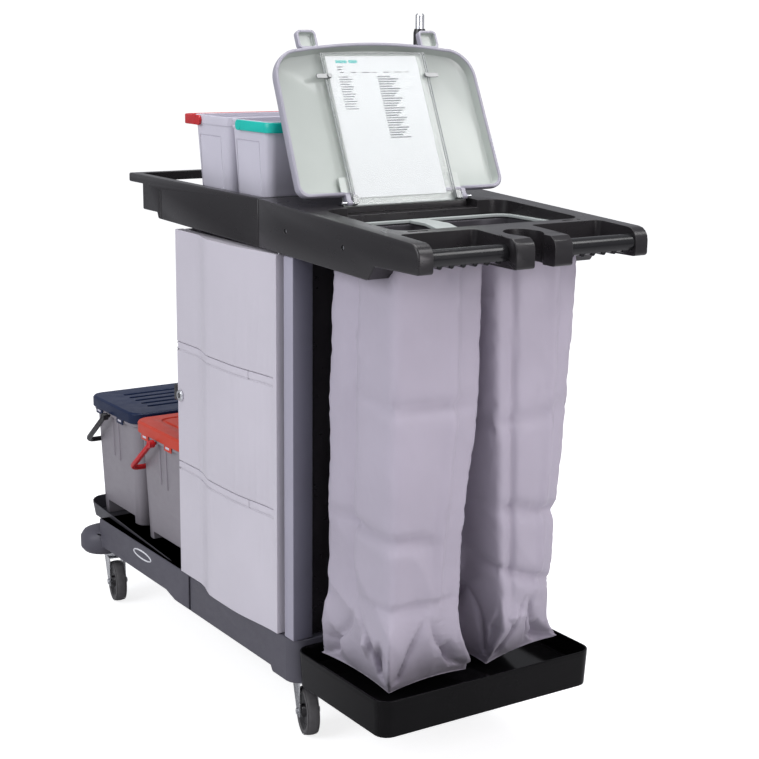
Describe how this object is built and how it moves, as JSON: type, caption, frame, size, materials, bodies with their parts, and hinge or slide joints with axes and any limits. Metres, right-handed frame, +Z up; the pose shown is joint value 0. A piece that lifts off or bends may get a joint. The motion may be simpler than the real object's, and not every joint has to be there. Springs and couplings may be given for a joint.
{
  "type": "housekeeping cart",
  "caption": "Wheeled housekeeping cart with a door cabinet, top deck, hinged lid over hanging bags, pails, lidded buckets and a telescopic pole.",
  "frame": {"origin": "on the floor under the middle of the cart's overall box", "axes": "+X towards the push handle, +Z up, the cabinet door faces -Y"},
  "size_m": [1.5081, 0.562, 1.43],
  "materials": {
    "slate_plastic": "dark bluish grey moulded plastic",
    "black_plastic": "black semi-matte moulded plastic",
    "gloss_black": "glossy black moulded plastic",
    "lilac_white_panel": "pale lilac white, satin",
    "lilac_post": "pale lilac grey, satin",
    "lilac_grey_tub": "lilac grey moulded plastic",
    "pale_lid": "pale, glossy",
    "clear_sheet": "clear plastic sheet",
    "paper": "printed paper",
    "bag_cloth": "lilac grey coated cloth",
    "grey_rail": "light grey plastic",
    "navy_plastic": "navy moulded plastic",
    "orange_plastic": "orange red moulded plastic",
    "red_plastic": "red plastic",
    "teal_plastic": "turquoise plastic",
    "zinc_steel": "bright plated steel",
    "aluminium": "satin tube",
    "grey_tyre": "dark grey solid rubber"
  },
  "bodies": {
    "cart": {"chassis_base": "slate_plastic", "bucket_tray": "black_plastic", "bag_tray": "gloss_black", "front_post_near": "lilac_post", "front_post_far": "lilac_post", "side_panel": "lilac_white_panel", "back_panel": "lilac_white_panel", "end_panel": "black_plastic", "cabinet_shelf": "lilac_white_panel", "door_pin_lower": "zinc_steel", "door_pin_upper": "zinc_steel", "lock_case": "black_plastic", "rear_deck": "black_plastic", "handle_frame": "black_plastic", "hand_grip_near": "black_plastic", "hand_grip_far": "black_plastic", "bag_rail": "grey_rail", "bag_divider": "grey_rail", "bag_near": "bag_cloth", "bag_far": "bag_cloth", "frame_screws_near": "zinc_steel", "frame_screws_far": "zinc_steel", "pole_cup": "black_plastic", "pole_ring": "black_plastic"},
    "door": {"door_panel": "lilac_white_panel"},
    "lock": {"lock_barrel": "zinc_steel"},
    "lid": {"lid_shell": "pale_lid", "lid_hinge_pin_near": "zinc_steel", "lid_hinge_pin_far": "zinc_steel", "paper_sheet": "paper"},
    "cover": {"lid_cover": "clear_sheet"},
    "clip_near": {"cover_clip_near": "clear_sheet"},
    "clip_far": {"cover_clip_far": "clear_sheet"},
    "pole": {"pole_tube": "aluminium"},
    "pole_collar_ring": {"pole_collar": "black_plastic"},
    "pole_inner": {"pole_inner_tube": "aluminium"},
    "rear_bucket_body": {"rear_bucket": "lilac_grey_tub"},
    "rear_bucket_lid_body": {"rear_bucket_lid": "navy_plastic"},
    "rear_bucket_bail_body": {"rear_bucket_bail": "black_plastic"},
    "front_bucket_body": {"front_bucket": "lilac_grey_tub"},
    "front_bucket_lid_body": {"front_bucket_lid": "orange_plastic"},
    "front_bucket_bail_body": {"front_bucket_bail": "red_plastic"},
    "rear_pail_body": {"rear_pail": "lilac_grey_tub"},
    "rear_pail_bail_body": {"rear_pail_bail": "red_plastic"},
    "front_pail_body": {"front_pail": "lilac_grey_tub"},
    "front_pail_bail_body": {"front_pail_bail": "teal_plastic"},
    "castor_rear_near": {"castor_fork_rear_near": "zinc_steel"},
    "wheel_rear_near": {"castor_hub_rear_near": "black_plastic", "castor_tyre_rear_near": "grey_tyre"},
    "castor_rear_far": {"castor_fork_rear_far": "zinc_steel"},
    "wheel_rear_far": {"castor_hub_rear_far": "black_plastic", "castor_tyre_rear_far": "grey_tyre"},
    "castor_front_near": {"castor_fork_front_near": "zinc_steel"},
    "wheel_front_near": {"castor_hub_front_near": "black_plastic", "castor_tyre_front_near": "grey_tyre"},
    "castor_front_far": {"castor_fork_front_far": "zinc_steel"},
    "wheel_front_far": {"castor_hub_front_far": "black_plastic", "castor_tyre_front_far": "grey_tyre"}
  },
  "joints": [
    {"name": "door_hinge", "type": "hinge", "parent": "cart", "child": "door", "pos_m": [0.26025, -0.2415, 0.6], "axis": [0, 0, 1], "range_deg": [0, 105]},
    {"name": "lock_turn", "type": "hinge", "parent": "door", "child": "lock", "pos_m": [-0.15075, -0.251, 0.625], "axis": [0, -1, 0], "range_deg": [0, 90]},
    {"name": "lid_hinge", "type": "hinge", "parent": "cart", "child": "lid", "pos_m": [0.33525, 0, 1.0785], "axis": [0, 1, 0], "range_deg": [0, 116]},
    {"name": "cover_hinge", "type": "hinge", "parent": "lid", "child": "cover", "pos_m": [0.33525, 0, 1.0785], "axis": [0, -1, 0], "range_deg": [-70, 0]},
    {"name": "clip_turn_near", "type": "hinge", "parent": "cover", "child": "clip_near", "pos_m": [0.22559, -0.1125, 1.30881], "axis": [0.9135, 0, 0.4067], "range_deg": [-90, 0]},
    {"name": "clip_turn_far", "type": "hinge", "parent": "cover", "child": "clip_far", "pos_m": [0.22559, 0.1125, 1.30881], "axis": [0.9135, 0, 0.4067], "range_deg": [0, 90]},
    {"name": "rear_bucket_lift", "type": "slide", "parent": "cart", "child": "rear_bucket_body", "axis": [0, 0, 1], "range_m": [0, 0.25]},
    {"name": "rear_bucket_lid_lift", "type": "slide", "parent": "rear_bucket_body", "child": "rear_bucket_lid_body", "axis": [0, 0, -1], "range_m": [-0.08, 0]},
    {"name": "rear_bucket_bail_swing", "type": "hinge", "parent": "rear_bucket_body", "child": "rear_bucket_bail_body", "pos_m": [-0.63775, 0.007, 0.47], "axis": [0, 1, 0], "range_deg": [0, 195]},
    {"name": "front_bucket_lift", "type": "slide", "parent": "cart", "child": "front_bucket_body", "axis": [0, 0, 1], "range_m": [0, 0.25]},
    {"name": "front_bucket_lid_lift", "type": "slide", "parent": "front_bucket_body", "child": "front_bucket_lid_body", "axis": [0, 0, -1], "range_m": [-0.08, 0]},
    {"name": "front_bucket_bail_swing", "type": "hinge", "parent": "front_bucket_body", "child": "front_bucket_bail_body", "pos_m": [-0.34525, -0.008, 0.47], "axis": [0, 1, 0], "range_deg": [0, 195]},
    {"name": "rear_pail_lift", "type": "slide", "parent": "cart", "child": "rear_pail_body", "axis": [0, 0, 1], "range_m": [0, 0.12]},
    {"name": "rear_pail_bail_swing", "type": "hinge", "parent": "rear_pail_body", "child": "rear_pail_bail_body", "pos_m": [-0.11025, -0.085, 1.211], "axis": [0, 1, 0], "range_deg": [0, 120]},
    {"name": "front_pail_lift", "type": "slide", "parent": "cart", "child": "front_pail_body", "axis": [0, 0, 1], "range_m": [0, 0.12]},
    {"name": "front_pail_bail_swing", "type": "hinge", "parent": "front_pail_body", "child": "front_pail_bail_body", "pos_m": [0.06375, -0.085, 1.211], "axis": [0, -1, 0], "range_deg": [0, 120]},
    {"name": "swivel_rear_near", "type": "hinge", "parent": "cart", "child": "castor_rear_near", "pos_m": [-0.65975, -0.195, 0.12], "axis": [0, 0, 1], "continuous": true},
    {"name": "wheel_spin_rear_near", "type": "hinge", "parent": "castor_rear_near", "child": "wheel_rear_near", "pos_m": [-0.6303, -0.20072, 0.05], "axis": [0.1908, 0.9816, 0], "continuous": true},
    {"name": "swivel_rear_far", "type": "hinge", "parent": "cart", "child": "castor_rear_far", "pos_m": [-0.65975, 0.195, 0.12], "axis": [0, 0, 1], "continuous": true},
    {"name": "wheel_spin_rear_far", "type": "hinge", "parent": "castor_rear_far", "child": "wheel_rear_far", "pos_m": [-0.63377, 0.18, 0.05], "axis": [0.5, 0.866, 0], "continuous": true},
    {"name": "swivel_front_near", "type": "hinge", "parent": "cart", "child": "castor_front_near", "pos_m": [0.25195, -0.183, 0.12], "axis": [0, 0, 1], "continuous": true},
    {"name": "wheel_spin_front_near", "type": "hinge", "parent": "castor_front_near", "child": "wheel_front_near", "pos_m": [0.28079, -0.19127, 0.05], "axis": [0.2756, 0.9613, 0], "continuous": true},
    {"name": "swivel_front_far", "type": "hinge", "parent": "cart", "child": "castor_front_far", "pos_m": [0.25195, 0.183, 0.12], "axis": [0, 0, 1], "continuous": true},
    {"name": "wheel_spin_front_far", "type": "hinge", "parent": "castor_front_far", "child": "wheel_front_far", "pos_m": [0.28129, 0.17676, 0.05], "axis": [0.2079, 0.9781, 0], "continuous": true},
    {"name": "pole_lift", "type": "slide", "parent": "cart", "child": "pole", "axis": [0, 0, 1], "range_m": [0, 0.4]},
    {"name": "pole_collar_twist", "type": "hinge", "parent": "pole", "child": "pole_collar_ring", "pos_m": [-0.02125, 0.267, 1.37], "axis": [0, 0, 1], "range_deg": [-60, 60]},
    {"name": "pole_extend", "type": "slide", "parent": "pole", "child": "pole_inner", "axis": [0, 0, 1], "range_m": [0, 0.5]}
  ]
}
